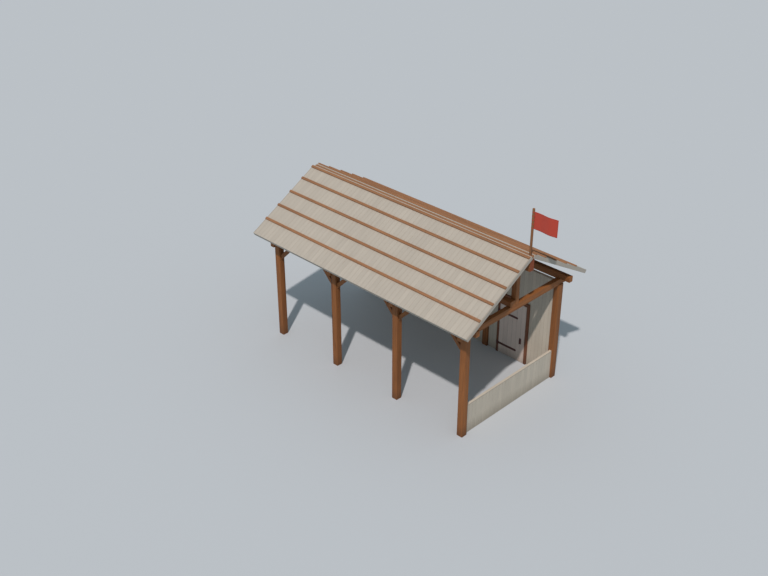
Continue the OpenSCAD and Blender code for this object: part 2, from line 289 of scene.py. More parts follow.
# %% [markdown]
# ## Bare timber
# Sawn softwood shows year rings: nearly straight lines on the faces, arcs on the ends.
# Over them come fine fibres, knots, and checks, which are the cracks that drying opens along the grain.
# One picture of wood would repeat and turn the wrong way on half of the pieces. Every stick here
# carries its own grain coordinates instead, in metres along it and out from the heart of its tree,
# so the same rings run through its faces and its ends as they do in a real one.

# %% Grain of a tree
RINGS_PER_METRE = 130.0
RING_WANDER = 3.2
WANDER_SIZE = (0.8, 3.0, 3.0)
RINGS_BENT = 2.2
BRANCH_STEP = 0.33
BRANCH_OUT = 0.10
KNOT_SIZE = 0.016
GRAIN_BENT = 0.060
CHECKS_ROUND = 11.0
CHECK_WIDE = 0.0016
CHECK_EDGE = 0.0004
CHECK_DRIFT = 1.6
DRIFT_SIZE = (0.5, 1.2, 1.2)
OPEN_SIZE = (0.8, 3.7, 1.0)
CHECK_SHUT, CHECK_OPEN = 0.53, 0.70


def from_heart(finish, place):
    """How far out from the heart of the tree a point is, and in which direction round it."""
    axes = finish.parts(place)
    squares = [finish.maths("POWER", axis, 2.0) for axis in (axes[1], axes[2])]
    out = finish.maths("SQRT", finish.maths("ADD", *squares))
    return out, finish.maths("ARCTAN2", axes[2], axes[1])


def branches(finish, place, turn):
    """Distance to the nearest branch, which runs straight out from the heart and leaves a round knot."""
    spot = finish.add("ShaderNodeCombineXYZ", X=finish.parts(place)[0],
                      Y=finish.product(finish.maths("COSINE", turn), BRANCH_OUT),
                      Z=finish.product(finish.maths("SINE", turn), BRANCH_OUT))
    cells = finish.add("ShaderNodeTexVoronoi", Vector=spot.outputs[0], Scale=1.0 / BRANCH_STEP)
    return finish.product(cells.outputs["Distance"], BRANCH_STEP)


def year_rings(finish, place, out, bend):
    wander = finish.product(finish.noise(place, WANDER_SIZE, detail=2.0), RING_WANDER)
    count = finish.maths("MULTIPLY_ADD", out, RINGS_PER_METRE, wander)
    count = finish.maths("ADD", count, finish.product(bend, RINGS_BENT))
    return finish.maths("POWER", finish.maths("FRACT", count), 2.0)


def drying_checks(finish, place, out, turn):
    """Cracks that stand on radii of the tree, each open for a short length and then shut again."""
    drift = finish.product(finish.noise(place, DRIFT_SIZE, detail=1.0), CHECK_DRIFT)
    count = finish.maths("MULTIPLY_ADD", turn, CHECKS_ROUND / math.tau, drift)
    spot = finish.add("ShaderNodeCombineXYZ", X=finish.parts(place)[0], Y=finish.maths("FLOOR", count))
    opened = finish.noise(spot.outputs[0], OPEN_SIZE, detail=1.0)
    opened = finish.spread(opened, CHECK_SHUT, CHECK_OPEN)
    aside = finish.maths("ABSOLUTE", finish.maths("SUBTRACT", finish.maths("FRACT", count), 0.5))
    aside = finish.product(finish.product(aside, out), math.tau / CHECKS_ROUND)
    inside = finish.maths("MULTIPLY_ADD", opened, CHECK_WIDE, finish.product(aside, -1.0))
    return finish.spread(inside, 0.0, CHECK_EDGE)


print("year rings", round(1000 / RINGS_PER_METRE, 1), "mm apart")

# %% Timber finish
SEALED = (138, 64, 33)
FIBRE = (2.5, 150.0, 150.0)
STREAK = (0.7, 16.0, 16.0)
BLOTCH = (0.9, 2.4, 2.4)
DARKEST, PALEST = 0.40, 1.6
DAMP_SHADE, CHECK_SHADE = 0.32, 0.12
TIMBER_RELIEF = 0.0012


def timber_finish(name, base, contrast=1.0, damp_foot=False):
    finish = Finish(name)
    place = finish.read("grain", "Vector")
    end, worn = finish.read("end"), finish.read("worn")
    out, turn = from_heart(finish, place)
    branch = branches(finish, place, turn)
    knot = finish.spread(branch, KNOT_SIZE * 0.7, KNOT_SIZE, 1.0, 0.0)
    bend = finish.maths("POWER", finish.spread(branch, KNOT_SIZE, GRAIN_BENT, 1.0, 0.0), 2.0)
    rings = year_rings(finish, place, out, bend)
    fibre = finish.noise(place, FIBRE, detail=4.0, rough=0.6)
    streak = finish.noise(place, STREAK)
    blotch = finish.noise(place, BLOTCH)
    check = drying_checks(finish, place, out, turn)

    level = finish.balance((rings, 0.33, -0.30 * contrast), (fibre, 0.5, 0.45 * contrast),
                           (streak, 0.5, 0.70 * contrast), (blotch, 0.5, 0.40 * contrast),
                           (finish.read("tone"), 0.5, 0.12 * contrast), (worn, 0.0, 0.16),
                           (bend, 0.0, -0.10), (knot, 0.0, -0.34), (end, 0.0, 0.12))
    dark = finish.blend(finish.spread(level, 0.0, 0.5), paint(*base, times=DARKEST), paint(*base))
    colour = finish.blend(finish.spread(level, 0.5, 1.0), dark, paint(*base, times=PALEST))
    colour = finish.cover(colour, finish.read("sealed"), 0.9, paint(*SEALED))
    colour = finish.cover(colour, check, 0.8, paint(*base, times=CHECK_SHADE))
    if damp_foot:
        damp = finish.near_floor(streak, 0.30, -0.12, 0.22, 0.55)
        colour = finish.blend(damp, colour, paint(*base, times=DAMP_SHADE))
    height = finish.balance((rings, 0.33, 0.3), (fibre, 0.5, 0.9), (knot, 0.0, 0.5), (check, 0.0, -2.0))
    finish.surface(colour, finish.spread(fibre, 0.2, 0.8, 0.58, 0.84), height, TIMBER_RELIEF)
    return finish.material


print("bare timber is from", DARKEST, "to", PALEST, "times as pale as its colour")

# %% The five timbers
POST_COLOUR = (144, 89, 47)
FRAME_COLOUR = (126, 80, 57)
BATTEN_COLOUR = (150, 104, 71)
POLE_COLOUR = (132, 88, 55)
finishes = {
    "post_timber": timber_finish("post_timber", POST_COLOUR, damp_foot=True),
    "beam_timber": timber_finish("beam_timber", POST_COLOUR),
    "frame_timber": timber_finish("frame_timber", FRAME_COLOUR, 0.8, damp_foot=True),
    "batten_timber": timber_finish("batten_timber", BATTEN_COLOUR, 0.8),
    "pole_timber": timber_finish("pole_timber", POLE_COLOUR, 0.6),
}
print("timber finishes:", sorted(finishes))

# %% [markdown]
# ## Cream paint on boards
# The roof, the walls and the door are painted boards. Old paint is matt and shows the fibres below.
# Dust stays in the joints, rain splashes the feet of the walls, and the paint flakes along the edges.
# It could be one flat colour, but then hundreds of boards would look like one sheet, so each board
# has a tone of its own and knows how far each point on it is from its joints.

# %% Paint finish
CREAM = (184, 172, 158)
WALL_CREAM = (207, 193, 175)
# The door's cream is paler and a little pinker than the walls' cream. The paleness is painted light that
# lifts the door out of the deeper shade of its doorway.
DOOR_CREAM = (229, 206, 192)
DUST = (112, 98, 80)
BARE = (146, 112, 80)
PAINTED_FIBRE = (3.0, 140.0, 140.0)
CLOUD = (1.3, 3.0, 3.0)
RAIN_STREAK = (0.6, 30.0, 30.0)
SPECK = (22.0, 70.0, 70.0)
DULLEST, FRESHEST = 0.78, 1.22
PAINT_RELIEF = 0.0008


def paint_finish(name, base, board_spread, splashed=False):
    finish = Finish(name)
    place = finish.read("grain", "Vector")
    across = finish.maths("ABSOLUTE", finish.parts(finish.read("rim", "Vector"))[1])
    joint = finish.maths("POWER", across, 16.0)
    fibre = finish.noise(place, PAINTED_FIBRE, detail=4.0, rough=0.6)
    cloud = finish.noise(place, CLOUD, detail=4.0, rough=0.62)
    streak = finish.noise(place, RAIN_STREAK)
    speck = finish.noise(place, SPECK)
    level = finish.balance((finish.read("tone"), 0.5, board_spread), (cloud, 0.5, 0.30),
                           (streak, 0.5, 0.26), (fibre, 0.5, 0.12))
    dull, fresh = paint(*base, times=DULLEST), paint(*base, times=FRESHEST)
    colour = finish.blend(finish.spread(level, 0.2, 0.8), dull, fresh)
    dirt = finish.product(joint, finish.spread(streak, 0.35, 0.65, 0.12, 0.42))
    if splashed:
        splash = finish.near_floor(streak, 0.5, -0.22, 0.14, 0.45)
        dirt = finish.maths("MAXIMUM", dirt, splash)
    colour = finish.blend(dirt, colour, paint(*DUST))
    edge = finish.maths("MAXIMUM", finish.product(joint, 0.5), finish.read("worn"))
    flake = finish.product(finish.spread(speck, 0.56, 0.60), edge)
    colour = finish.cover(colour, flake, 0.7, paint(*BARE))
    height = finish.balance((fibre, 0.5, 0.9), (speck, 0.5, 0.3), (flake, 0.0, -0.8))
    finish.surface(colour, finish.spread(cloud, 0.3, 0.7, 0.62, 0.80), height, PAINT_RELIEF)
    return finish.material


finishes["roof_boards"] = paint_finish("roof_boards", CREAM, 0.09)
finishes["wall_boards"] = paint_finish("wall_boards", WALL_CREAM, 0.11, splashed=True)
finishes["door_boards"] = paint_finish("door_boards", DOOR_CREAM, 0.11, splashed=True)
print("paint finishes:", [n for n in finishes if n.endswith("boards")])

# %% [markdown]
# ## Painted iron
# The straps, pins and handles are forged iron under dark red-brown paint. Forging leaves shallow
# dents. The paint is rubbed to bare dull iron on the edges, and rust creeps in beside it.

# %% Iron finish
IRON_PAINT = (96, 53, 47)
IRON_BARE = (92, 84, 78)
RUST = (120, 66, 36)
DENTS, RUBS, GRIMES = 60.0, 35.0, 9.0
FORGED_RELIEF = 0.0014


def iron_finish(name):
    finish = Finish(name)
    place = finish.add("ShaderNodeTexCoord").outputs["Object"]
    dents = finish.noise(place, (DENTS, DENTS, DENTS), detail=2.0)
    rub = finish.noise(place, (RUBS, RUBS, RUBS), detail=5.0, rough=0.7)
    grime = finish.noise(place, (GRIMES, GRIMES, GRIMES), detail=4.0)
    rust = finish.spread(rub, 0.56, 0.64)
    bare = finish.product(finish.read("worn"), finish.spread(rub, 0.40, 0.55))
    colour = finish.blend(finish.spread(grime, 0.35, 0.75, 0.0, 0.45), paint(*IRON_PAINT),
                          paint(*IRON_PAINT, times=0.5))
    colour = finish.cover(colour, rust, 0.55, paint(*RUST))
    colour = finish.blend(bare, colour, paint(*IRON_BARE))
    height = finish.balance((dents, 0.5, 1.0), (rub, 0.5, 0.25), (bare, 0.0, -0.15))
    finish.surface(colour, finish.spread(rub, 0.35, 0.7, 0.38, 0.70), height, FORGED_RELIEF)
    return finish.material


finishes["iron"] = iron_finish("iron")
print("iron finish ready")

# %% [markdown]
# ## Planks
# A plank is a long box whose twelve edges are taken off by a few strokes of a plane.
# Blender's bevel tool can do that, but for hundreds of planks it is quicker to write the twenty-four
# corners of such a box directly. This cell works out its faces once: six sides, twelve cut edges
# and eight cut corners.

# %% Faces of a plank
SIGNS = [(x, y, z) for x in (-1, 1) for y in (-1, 1) for z in (-1, 1)]


def at(corner, axis):
    """Which of the 24 points stands at a corner, on the side that faces along an axis."""
    return 3 * SIGNS.index(tuple(corner)) + axis


def plank_faces():
    faces = []
    for axis in range(3):
        for sign in (-1, 1):
            ring = [c for c in SIGNS if c[axis] == sign]
            ring = [ring[0], ring[1], ring[3], ring[2]]
            faces.append(([at(c, axis) for c in ring], "end" if axis == 0 else "side"))
    for along in range(3):
        u, v = [a for a in range(3) if a != along]
        for su in (-1, 1):
            for sv in (-1, 1):
                low, high = [0, 0, 0], [0, 0, 0]
                low[along], high[along] = -1, 1
                low[u] = high[u] = su
                low[v] = high[v] = sv
                faces.append(([at(low, u), at(high, u), at(high, v), at(low, v)], "worn"))
    return faces + [([at(c, 0), at(c, 1), at(c, 2)], "worn") for c in SIGNS]


def outward(ring):
    """The same ring, turned so that its face looks out of the plank."""
    points = []
    for i in ring:
        sign = SIGNS[i // 3]
        points.append(Vector([s if a == i % 3 else 0.8 * s for a, s in enumerate(sign)]))
    normal = (points[1] - points[0]).cross(points[2] - points[0])
    return ring if normal.dot(sum(points, Vector())) > 0 else ring[::-1]


PLANK_FACES = [(outward(ring), kind) for ring, kind in plank_faces()]
print("a plank has", len(PLANK_FACES), "faces")

# %% [markdown]
# ## A maker of joinery
# This collects planks, pegs and nails into one mesh, because a thousand separate objects would be
# slow to render. Each piece of wood gets its own grain, tone and heart of the tree, and marks for
# its cut ends and worn edges. Pegs, bolt heads and nails are turned shapes: rings around a centre.

# %% Plank and stud maker
HEART_OFF = 0.12
GRAIN_SPAN = 40.0


class Joinery:
    def __init__(self, seed):
        self.random = random.Random(seed)
        self.points, self.faces = [], []
        self.grain, self.rim, self.tone, self.worn, self.end = [], [], [], [], []

    def keep(self, points, local, rim, faces):
        first = len(self.points)
        pick = self.random.uniform
        shift = Vector([pick(0, GRAIN_SPAN), pick(-HEART_OFF, HEART_OFF), pick(0.01, HEART_OFF)])
        self.points += points
        self.grain += [Vector(p) + shift for p in local]
        self.rim += rim
        self.tone += [self.random.random()] * len(points)
        for ring, kind in faces:
            self.faces.append([first + i for i in ring])
            self.worn.append(float(kind == "worn"))
            self.end.append(float(kind == "end"))

    def plank(self, centre, along, across, size, edge=0.003):
        """A plank of size (length, width, thickness) about its centre."""
        along, across = along.normalized(), across.normalized()
        through = along.cross(across)
        half = [s / 2 for s in size]
        local = []
        for sign in SIGNS:
            for axis in range(3):
                reach = [h if a == axis else h - edge for a, h in enumerate(half)]
                local.append([s * r for s, r in zip(sign, reach)])
        points = [centre + along * p[0] + across * p[1] + through * p[2] for p in local]
        rim = [[c / h for c, h in zip(p, half)] for p in local]
        self.keep(points, local, rim, PLANK_FACES)

    def stud(self, foot, out, profile, sides=12):
        """A turned shape that stands out of a face. profile is a list of (radius, height)."""
        out = out.normalized()
        side = out.orthogonal().normalized()
        other = out.cross(side)
        local, points = [], []
        for radius, height in profile:
            for i in range(sides):
                turn = math.tau * i / sides
                c, s = radius * math.cos(turn), radius * math.sin(turn)
                local.append((height, c, s))
                points.append(foot + out * height + side * c + other * s)
        faces = []
        for level in range(len(profile) - 1):
            low, high = level * sides, (level + 1) * sides
            for i in range(sides):
                beside = (i + 1) % sides
                faces.append(([low + i, low + beside, high + beside, high + i], "worn"))
        faces.append(([(len(profile) - 1) * sides + i for i in range(sides)], "end"))
        self.keep(points, local, [(0, 0, 0)] * len(points), faces)

    def piece(self, name, slot, body="building", replaces=()):
        mesh = bpy.data.meshes.new(name)
        mesh.from_pydata(self.points, [], self.faces)
        for layer in ("grain", "rim"):
            flat = np.array([tuple(v) for v in getattr(self, layer)]).ravel()
            mesh.attributes.new(layer, "FLOAT_VECTOR", "POINT").data.foreach_set("vector", flat)
        for layer, where in (("tone", "POINT"), ("worn", "FACE"), ("end", "FACE")):
            made = mesh.attributes.new(layer, "FLOAT", where)
            made.data.foreach_set("value", getattr(self, layer))
        return settle(mesh, name, slot, body, replaces)


print("joinery maker ready")

# %% A finished piece in its place
def settle(mesh, name, slot, body="building", replaces=()):
    """Puts a finished mesh in the scene, on its body, with its finish."""
    mesh.materials.append(finishes[slot])
    piece = put(name, mesh)
    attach(piece, body)
    if replaces:
        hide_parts(*replaces)
    return piece


print("a piece is settled with one of", len(finishes), "finishes")

# %% [markdown]
# ## Sawn timbers and forged iron
# The posts, beams, rafters and hinges have the right shape already. What they lack is an arris:
# the narrow rounded edge that a plane or a hammer and years of weather give. Each one is copied from
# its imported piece, its flat faces are merged, and its sharp edges get a bevel of a few millimetres.
# The grain of every stick follows its longest direction, found from the spread of its corners.
# The ridge beam's ends stand in the rain at the tips of the roof, so they are sealed with red primer.

# %% Separate sticks and their directions
WELD = 1e-5
FLAT = math.radians(1.0)
SHARP = math.radians(25.0)
SMOOTH = math.radians(20.0)


def sticks(bm):
    """The separate solids in a mesh, as lists of vertices."""
    left, found = set(bm.verts), []
    for start in bm.verts:
        if start not in left:
            continue
        left.discard(start)
        group, edge = [start], [start]
        while edge:
            for link in edge.pop().link_edges:
                for vert in link.verts:
                    if vert in left:
                        left.discard(vert)
                        group.append(vert)
                        edge.append(vert)
        found.append(group)
    return found


def grain_axes(points):
    """The longest direction of a set of points, then the two across it."""
    axes = np.linalg.svd(points - points.mean(0), full_matrices=False)[2]
    axes = [Vector(a) * (1 if a[np.argmax(np.abs(a))] > 0 else -1) for a in axes]
    axes[2] = axes[0].cross(axes[1])
    return axes


def welded(node):
    bm = bmesh.new()
    bm.from_mesh(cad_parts[node].data)
    bmesh.ops.remove_doubles(bm, verts=bm.verts, dist=WELD)
    return bm


print("the front braces are", len(sticks(welded("front_braces"))), "sticks")

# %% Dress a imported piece
CUT_ACROSS = 0.6


def mark_sticks(bm, worn, seed, sealed):
    grain = bm.verts.layers.float_vector.new("grain")
    tone = bm.verts.layers.float.new("tone")
    marks = [bm.faces.layers.float.new(name) for name in ("worn", "end", "sealed")]
    chance = random.Random(seed)
    for group in sticks(bm):
        points = np.array([v.co[:] for v in group])
        axes, middle = grain_axes(points), Vector(points.mean(0))
        pick = chance.uniform
        heart = Vector([pick(0, GRAIN_SPAN), pick(-0.05, 0.05), pick(0.02, HEART_OFF)])
        shade = chance.random()
        for vert in group:
            vert[grain] = Vector([(vert.co - middle).dot(a) for a in axes]) + heart
            vert[tone] = shade
        for face in set(f for v in group for f in v.link_faces):
            cut = abs(face.normal.dot(axes[0])) > CUT_ACROSS
            for layer, holds in zip(marks, (face in worn, cut and face not in worn, cut and sealed)):
                face[layer] = float(holds)


def dress(node, slot, arris, seed, body="building"):
    bm = welded(node)
    bmesh.ops.dissolve_limit(bm, angle_limit=FLAT, verts=bm.verts, edges=bm.edges)
    sharp = [e for e in bm.edges if len(e.link_faces) == 2 and e.calc_face_angle(0.0) > SHARP]
    made = bmesh.ops.bevel(bm, geom=sharp, offset=arris, segments=2, profile=0.5, affect="EDGES",
                           clamp_overlap=True)
    mark_sticks(bm, set(made["faces"]), seed, sealed=node == "ridge_beam")
    name = "dressed_" + node
    mesh = bpy.data.meshes.new(name)
    bm.to_mesh(mesh)
    bm.free()
    mesh.shade_smooth()
    mesh.set_sharp_from_angle(angle=SMOOTH)
    return settle(mesh, name, slot, body, replaces=[node])


print("dressing adds an arris to edges sharper than", round(math.degrees(SHARP)), "degrees")

# %% [markdown]
# Each group of pieces gets the arris that its work would have: a few millimetres on sawn posts and
# beams, less on the battens and the door's frame, and hardly any on iron.

# %% Dress the frame, the strips and the iron
posts = [f"{row}_post_{i}" for row in ("front", "rear") for i in range(1, 5)]
beams = [f"{kind}_{i}" for kind in ("tie_beam", "king_post") for i in range(1, 5)]
beams += ["front_plate", "rear_plate", "ridge_beam", "binder_beam", "front_braces",
          "front_rafters", "rear_rafters", "rafter_blocks"]
door_frame = ["door_jamb_left", "door_jamb_right", "door_lintel"]
strips = ["front_battens", "rear_battens", "ridge_cap"]
groups = [(posts, "post_timber", "building", 0.004, 0),
          (beams, "beam_timber", "building", 0.0035, 100),
          (door_frame, "frame_timber", "building", 0.003, 200),
          (strips, "batten_timber", "building", 0.003, 300),
          (["flagpole"], "pole_timber", "building", 0.002, 400),
          (["hinge_plates", "hinge_pins"], "iron", "building", 0.0012, 600),
          (["door_straps", "door_handles"], "iron", "door", 0.0012, 610)]
for nodes, slot, body, arris, first_seed in groups:
    for number, node in enumerate(nodes):
        dress(node, slot, arris, first_seed + number, body)
    print(slot, len(nodes), "pieces on", body)

# %% [markdown]
# ## Roof slopes
# Each slope is boards nailed side by side from the ridge to the eave, a lining under them, and edge
# boards all round that hide the frame between. A flat panel would do from far away, but the joints
# between boards show as fine lines from near, and the edge boards give the roof its pale rim.
# The slope's corner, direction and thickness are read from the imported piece.

# %% Slope of the roof
EAST = Vector((1, 0, 0))
FRONT = Vector((0, -1, 0))
BACK = Vector((0, 1, 0))
UP = Vector((0, 0, 1))


class Slope:
    """One slope of the roof: its top corner, and its ways down and out. side is -1 for the front."""

    def __init__(self, node, side):
        points = [v.co.copy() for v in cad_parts[node].data.vertices]
        top = max(points, key=lambda p: p.z)
        eave = max(points, key=lambda p: side * p.y)
        foot = min(points, key=lambda p: p.z)
        self.node = node
        self.low, self.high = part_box(node)
        self.top = Vector((0, top.y, top.z))
        self.down = Vector((0, eave.y - top.y, eave.z - top.z))
        self.length = self.down.length
        self.down.normalize()
        self.thick = Vector((0, foot.y - eave.y, foot.z - eave.z)).length
        self.out = EAST.cross(self.down)
        if self.out.z < 0:
            self.out.negate()

    def at(self, x, down, out):
        return self.top + EAST * x + self.down * down + self.out * out


slopes = [Slope("front_roof", -1), Slope("rear_roof", 1)]
for slope in slopes:
    print(slope.node, "length", round(slope.length, 3), "thickness", round(slope.thick, 3))

# %% Boards, lining and edges of a slope
BOARD = 0.149
BOARD_THICK = 0.022
BOARD_PLANED = 0.002
LINING_THICK = 0.012
LINING_CUTS = (0.65, 0.35)
EDGE_THICK = 0.026


def board_places(low, high):
    """The middles of the boards that fill a stretch, and how wide each one is."""
    count = round((high - low) / BOARD)
    wide = (high - low) / count
    return [low + (i + 0.5) * wide for i in range(count)], wide


def inside_edges(slope):
    return slope.low.x + EDGE_THICK, slope.high.x - EDGE_THICK


def roof_boards(slope, seed):
    made = Joinery(seed)
    places, wide = board_places(*inside_edges(slope))
    for x in places:
        middle = slope.at(x, slope.length / 2, -BOARD_THICK / 2)
        made.plank(middle, slope.down, EAST, (slope.length, wide, BOARD_THICK), BOARD_PLANED)
    return made.piece(slope.node + "_boards", "roof_boards", replaces=[slope.node])


def roof_lining(slope, seed):
    made = Joinery(seed)
    x0, x1 = inside_edges(slope)
    places, wide = board_places(EDGE_THICK, slope.length - EDGE_THICK)
    for i, down in enumerate(places):
        cut = x0 + (x1 - x0) * LINING_CUTS[i % 2]
        for a, b in ((x0, cut), (cut, x1)):
            middle = slope.at((a + b) / 2, down, LINING_THICK / 2 - slope.thick)
            made.plank(middle, EAST, slope.down, (b - a, wide, LINING_THICK), BOARD_PLANED)
    return made.piece(slope.node + "_lining", "roof_boards")


def roof_edges(slope, seed):
    made = Joinery(seed)
    for x in (slope.low.x + EDGE_THICK / 2, slope.high.x - EDGE_THICK / 2):
        middle = slope.at(x, slope.length / 2, -slope.thick / 2)
        made.plank(middle, slope.down, slope.out, (slope.length, slope.thick, EDGE_THICK))
    deep = slope.thick - BOARD_THICK
    x0, x1 = inside_edges(slope)
    for down in (EDGE_THICK / 2, slope.length - EDGE_THICK / 2):
        middle = slope.at((x0 + x1) / 2, down, -BOARD_THICK - deep / 2)
        made.plank(middle, EAST, slope.out, (x1 - x0, deep, EDGE_THICK))
    return made.piece(slope.node + "_edges", "roof_boards")


for number, slope in enumerate(slopes):
    for first_seed, work in ((200, roof_boards), (210, roof_lining), (220, roof_edges)):
        print(work(slope, first_seed + number).name)

# %% [markdown]
# ## Boarded walls
# The rear wall and the low wall are frames with upright boards on both faces and a capping on top.
# One box for each wall would hide that they are wood, so each packed wall piece is rebuilt as boards
# that fill the same box, with two nails where a board crosses a rail of the frame behind it.

# %% Walls
WALL_BOARD = 0.144
SKIN = 0.022
CAPPING = 0.030
CAPPING_PROUD = 0.003
RAIL_END = 0.11
RAIL_STEP = 0.95
NAIL_ASIDE = 0.3
NAIL_WANDER = 0.006
PAINTED_NAIL = [(0.006, -0.001), (0.006, 0.0008), (0.0042, 0.0016)]


def nail_heights(low, high):
    between = high - low - 2 * RAIL_END
    count = max(1, round(between / RAIL_STEP))
    return [low + RAIL_END + between * i / count for i in range(count + 1)]


def boarded_wall(node, seed):
    low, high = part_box(node)
    size, middle = high - low, (low + high) / 2
    flat = 0 if size.x > size.y else 1
    across, deep = (EAST, BACK) if flat == 0 else (BACK, EAST)
    thick, tall = size[1 - flat], size.z - CAPPING
    count = max(1, round(size[flat] / WALL_BOARD))
    wide = size[flat] / count
    made, nails = Joinery(seed), Joinery(seed + 50)
    for side in (-1, 1):
        for i in range(count):
            centre = Vector(middle)
            centre[flat] = low[flat] + (i + 0.5) * wide
            centre[1 - flat] = middle[1 - flat] + side * (thick / 2 - CAPPING_PROUD - SKIN / 2)
            centre.z = low.z + tall / 2
            made.plank(centre, UP, across, (tall, wide, SKIN))
            for z in nail_heights(low.z, low.z + tall):
                for step in (-NAIL_ASIDE, NAIL_ASIDE):
                    foot = centre + across * wide * step + deep * side * SKIN / 2
                    foot.z = z + NAIL_WANDER * math.sin(7.1 * i + 3.0 * step)
                    nails.stud(foot, deep * side, PAINTED_NAIL, sides=7)
    top = Vector((middle.x, middle.y, high.z - CAPPING / 2))
    made.plank(top, across, deep, (size[flat], thick, CAPPING))
    nails.piece(node + "_nails", "wall_boards")
    return made.piece(node + "_boards", "wall_boards", replaces=[node])


walls = ["rear_wall_bay_1", "rear_wall_bay_2", "rear_wall_left_of_door",
         "rear_wall_right_of_door", "rear_wall_over_door", "low_wall"]
for number, node in enumerate(walls):
    wall = boarded_wall(node, 300 + number)
    print(wall.name, len(wall.data.polygons), "faces")

# %% [markdown]
# ## Draught boards
# The rear walls stop a hand's breadth below the plate, so that air moves through under the roof.
# A narrow board hangs from the plate in each bay and leaves only a low slot above the wall's capping.
# It is thin trim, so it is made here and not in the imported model.

# %% Draught boards under the rear plate
DRAUGHT_DEEP = 0.072
DRAUGHT_THICK = 0.035
DRAUGHT_EASE = 0.0006


def draught_boards():
    made = Joinery(345)
    plate_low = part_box("rear_plate")[0]
    wall_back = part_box("rear_wall_bay_1")[1].y
    for i in range(1, 4):
        x0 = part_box(f"tie_beam_{i}")[1].x + DRAUGHT_EASE
        x1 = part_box(f"tie_beam_{i + 1}")[0].x - DRAUGHT_EASE
        middle = Vector(((x0 + x1) / 2, wall_back - DRAUGHT_THICK / 2, plate_low.z - DRAUGHT_DEEP / 2))
        made.plank(middle, EAST, UP, (x1 - x0, DRAUGHT_DEEP, DRAUGHT_THICK))
    return made.piece("draught_boards", "beam_timber")


print(draught_boards().name)

# %% [markdown]
# ## The door
# The leaf is upright boards with a fine V joint between them. It turns on two strap hinges, each
# bolted through the boards, and has a pull handle on both faces. The ironwork is dressed already,
# so what it still needs is the dome-headed bolts and the screws that hold it.

# %% Door leaf
LEAF_BOARDS = 6


def door_leaf():
    low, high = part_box("door_leaf")
    size = high - low
    wide = size.x / LEAF_BOARDS
    made = Joinery(350)
    for i in range(LEAF_BOARDS):
        centre = Vector((low.x + (i + 0.5) * wide, (low.y + high.y) / 2, (low.z + high.z) / 2))
        made.plank(centre, UP, EAST, (size.z, wide, size.y), 0.004)
    return made.piece("door_leaf_boards", "door_boards", "door", ["door_leaf"])


print(door_leaf().name, LEAF_BOARDS, "boards")

# %% Bolts and screws of the ironwork
BOLT_HEAD = [(0.013, -0.001), (0.0125, 0.003), (0.0095, 0.0058), (0.004, 0.0072)]
SCREW_HEAD = [(0.0055, -0.001), (0.005, 0.0012), (0.0018, 0.0018)]
BOLTS_PER_STRAP = 5
FIRST_BOLT = 0.075
LAST_BOLT = 0.038
STRAP_THICK = 0.010
HANDLE_PLATE = 0.006
HANDLE_SCREWS_IN = (0.012, 0.014)
HINGE_SCREWS_ACROSS = (0.014, 0.044)
HINGE_SCREWS_IN = 0.018


def boxes(node):
    """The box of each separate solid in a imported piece, lowest first."""
    bm = welded(node)
    found = []
    for group in sticks(bm):
        points = np.array([v.co[:] for v in group])
        found.append((Vector(points.min(0)), Vector(points.max(0))))
    bm.free()
    return sorted(found, key=lambda box: box[0].z)


def four_screws(made, across, heights, face, out):
    for x in across:
        for z in heights:
            made.stud(Vector((x, face, z)), out, SCREW_HEAD)


def door_bolts():
    made = Joinery(351)
    leaf_low, leaf_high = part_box("door_leaf")
    for low, high in boxes("door_straps"):
        middle = (low.z + high.z) / 2
        start, stop = leaf_low.x + FIRST_BOLT, high.x - LAST_BOLT
        for i in range(BOLTS_PER_STRAP):
            x = start + (stop - start) * i / (BOLTS_PER_STRAP - 1)
            made.stud(Vector((x, leaf_low.y - STRAP_THICK, middle)), FRONT, BOLT_HEAD)
            made.stud(Vector((x, leaf_high.y, middle)), BACK, BOLT_HEAD)
    for low, high in boxes("door_handles"):
        inner = low.y < leaf_low.y
        face = leaf_low.y - HANDLE_PLATE if inner else leaf_high.y + HANDLE_PLATE
        aside, up = HANDLE_SCREWS_IN
        four_screws(made, (low.x + aside, high.x - aside), (low.z + up, high.z - up), face,
                    FRONT if inner else BACK)
    return made.piece("door_bolts_and_screws", "iron", "door")


def hinge_screws():
    made = Joinery(352)
    jamb_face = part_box("door_jamb_left")[0].y
    for low, high in boxes("hinge_plates"):
        across = [low.x + aside for aside in HINGE_SCREWS_ACROSS]
        heights = (low.z + HINGE_SCREWS_IN, high.z - HINGE_SCREWS_IN)
        four_screws(made, across, heights, jamb_face - STRAP_THICK, FRONT)
    return made.piece("hinge_plate_screws", "iron")


print([piece.name for piece in (door_bolts(), hinge_screws())])

# %% [markdown]
# ## Pegs
# A timber frame is held by oak pegs driven through its joints, and their round ends stand a few
# millimetres proud. They are too small to see from far away, but a person who walks up to a post
# sees them, two at each joint.

# %% Frame pegs
PEG = [(0.0105, -0.001), (0.0105, 0.004), (0.0085, 0.006)]
PEG_SPREAD = 0.045
PEG_UP_TIE = 0.4
PEG_UP_RIDGE = 0.09


def frame_pegs():
    made = Joinery(360)
    ridge_low, ridge_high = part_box("ridge_beam")
    for i in range(1, 5):
        tie_low, tie_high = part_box(f"tie_beam_{i}")
        rise = tie_low.z + PEG_UP_TIE * (tie_high.z - tie_low.z)
        for post in (f"front_post_{i}", f"rear_post_{i}", f"king_post_{i}"):
            low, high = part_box(post)
            for face, out in ((tie_low.x, -1), (tie_high.x, 1)):
                for step in (-PEG_SPREAD, PEG_SPREAD):
                    foot = Vector((face, (low.y + high.y) / 2 + step, rise))
                    made.stud(foot, EAST * out, PEG)
        low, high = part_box(f"king_post_{i}")
        for face, out in ((ridge_low.y, FRONT), (ridge_high.y, BACK)):
            for step in (-PEG_SPREAD, PEG_SPREAD):
                foot = Vector(((low.x + high.x) / 2 + step, face, ridge_low.z + PEG_UP_RIDGE))
                made.stud(foot, out, PEG)
    return made.piece("frame_pegs", "beam_timber")


